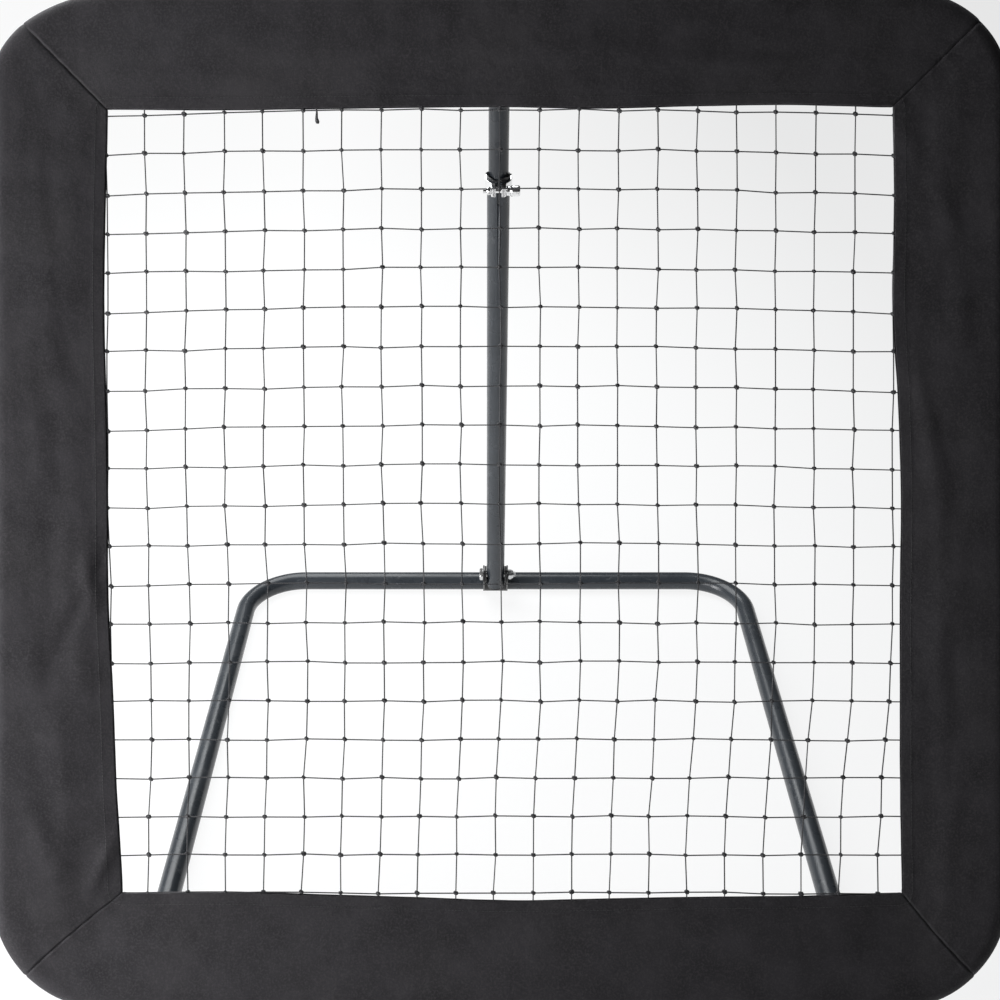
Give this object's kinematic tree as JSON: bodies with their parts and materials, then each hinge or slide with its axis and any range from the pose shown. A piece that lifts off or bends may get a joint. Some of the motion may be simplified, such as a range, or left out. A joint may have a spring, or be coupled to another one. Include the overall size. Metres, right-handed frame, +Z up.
{
  "type": "rebounder net",
  "caption": "Square rebounder net: a tube frame with a knotted net in a fabric cover, leaning on a U-shaped floor stand, its tilt set by a clamped telescopic strut",
  "frame": {"origin": "middle of the footprint, on the floor", "axes": "+X to the right along the frame's width as the net faces the player, +Y back from the net to the crossbar, +Z up"},
  "size_m": [0.9994, 0.7941, 0.8862],
  "materials": {
    "tube_paint": "satin powder coat, slate grey",
    "bracket_paint": "satin powder coat, black",
    "cover_fabric": "woven polyester, charcoal black",
    "net_twine": "knotted polyethylene twine, black",
    "chrome": "bright",
    "zinc": "zinc plated",
    "black_plastic": "moulded nylon, black"
  },
  "bodies": {
    "stand": {"stand_tube": "tube_paint", "stand_end_cap_left": "black_plastic", "stand_end_cap_right": "black_plastic", "strut_bracket": "bracket_paint", "strut_pivot_bolt": "zinc", "strut_pivot_nut": "zinc", "strut_spacer_left": "black_plastic", "strut_spacer_right": "black_plastic"},
    "net_frame": {"frame_top_tube": "tube_paint", "frame_right_tube": "tube_paint", "frame_bottom_tube": "tube_paint", "frame_left_tube": "tube_paint", "frame_corner_top_right": "tube_paint", "frame_corner_bottom_right": "tube_paint", "frame_corner_bottom_left": "tube_paint", "frame_corner_top_left": "tube_paint", "net": "net_twine", "border_rope": "net_twine", "net_tie_1": "black_plastic", "net_tie_2": "black_plastic", "net_tie_3": "black_plastic", "net_tie_4": "black_plastic", "net_tie_5": "black_plastic", "net_tie_6": "black_plastic", "net_tie_7": "black_plastic", "net_tie_8": "black_plastic", "net_tie_9": "black_plastic", "net_tie_10": "black_plastic", "net_tie_11": "black_plastic", "net_tie_12": "black_plastic", "cover_top": "cover_fabric", "cover_right": "cover_fabric", "cover_bottom": "cover_fabric", "cover_left": "cover_fabric", "hinge_bracket_left": "bracket_paint", "hinge_bracket_right": "bracket_paint", "hinge_left_bolt": "zinc", "hinge_left_nut": "zinc", "hinge_right_bolt": "zinc", "hinge_right_nut": "zinc", "hinge_spacer_left_outer": "black_plastic", "hinge_spacer_left_inner": "black_plastic", "hinge_spacer_right_outer": "black_plastic", "hinge_spacer_right_inner": "black_plastic", "strut_top_bracket": "bracket_paint", "strut_top_bolt": "zinc", "strut_top_nut": "zinc", "strut_top_spacer_left": "black_plastic", "strut_top_spacer_right": "black_plastic"},
    "strut_lower": {"strut_lower_tube": "tube_paint", "strut_end_cap": "black_plastic", "strut_bushing": "black_plastic", "clamp_band": "chrome", "clamp_nut": "chrome", "clamp_washer": "chrome"},
    "clamp_screw": {"clamp_knob": "chrome"},
    "strut_upper": {"strut_upper_tube": "tube_paint"}
  },
  "joints": [
    {"name": "frame_tilt", "type": "hinge", "parent": "stand", "child": "net_frame", "pos_m": [0, -0.34558, 0.01254], "axis": [1, 0, 0], "range_deg": [-5, 15]},
    {"name": "strut_swing", "type": "hinge", "parent": "stand", "child": "strut_lower", "pos_m": [0, 0.35442, 0.04354], "axis": [1, 0, 0], "range_deg": [-3.9, 11.6]},
    {"name": "strut_slide", "type": "slide", "parent": "strut_lower", "child": "strut_upper", "axis": [0, -0.2715, 0.9624], "range_m": [-0.0585, 0.1752]},
    {"name": "clamp_turn", "type": "hinge", "parent": "strut_lower", "child": "clamp_screw", "pos_m": [0, 0.1579, 0.671], "axis": [1, 0, 0], "range_deg": [0, 360]}
  ],
  "couplings": [
    {"joint": "strut_swing", "follows": "frame_tilt", "ratio": 0.772},
    {"joint": "strut_slide", "follows": "frame_tilt", "m_per_rad": 0.668}
  ]
}
